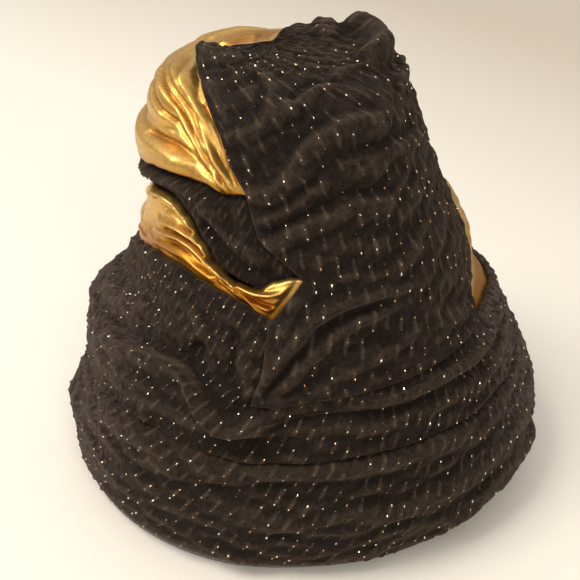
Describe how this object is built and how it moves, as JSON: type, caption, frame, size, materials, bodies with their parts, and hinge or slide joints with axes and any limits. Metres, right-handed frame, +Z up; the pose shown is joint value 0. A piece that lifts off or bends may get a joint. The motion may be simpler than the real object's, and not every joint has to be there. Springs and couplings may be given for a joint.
{
  "type": "beehive hat",
  "caption": "Tall draped beehive hat: flecked dark velvet wound over a bell-shaped form, with swathes of gold lamé between the turns, open underneath for the head.",
  "frame": {"origin": "on the resting surface, below the middle of the hem", "axes": "+Z up; front towards -Y; +X to the right of someone who faces the front"},
  "size_m": [0.2577, 0.2374, 0.2387],
  "materials": {
    "velvet": "matt sculpted velvet with raised dashes and metallic flecks",
    "lame": "shiny metallic gold lame, fine grain",
    "binding": "matt plain woven binding"
  },
  "bodies": {
    "root": {"hem_band": "binding", "lower_swag": "velvet", "upper_swag": "velvet", "middle_band": "velvet", "gold_sash": "lame", "gold_cap": "lame", "crown_wrap": "velvet"}
  },
  "joints": []
}
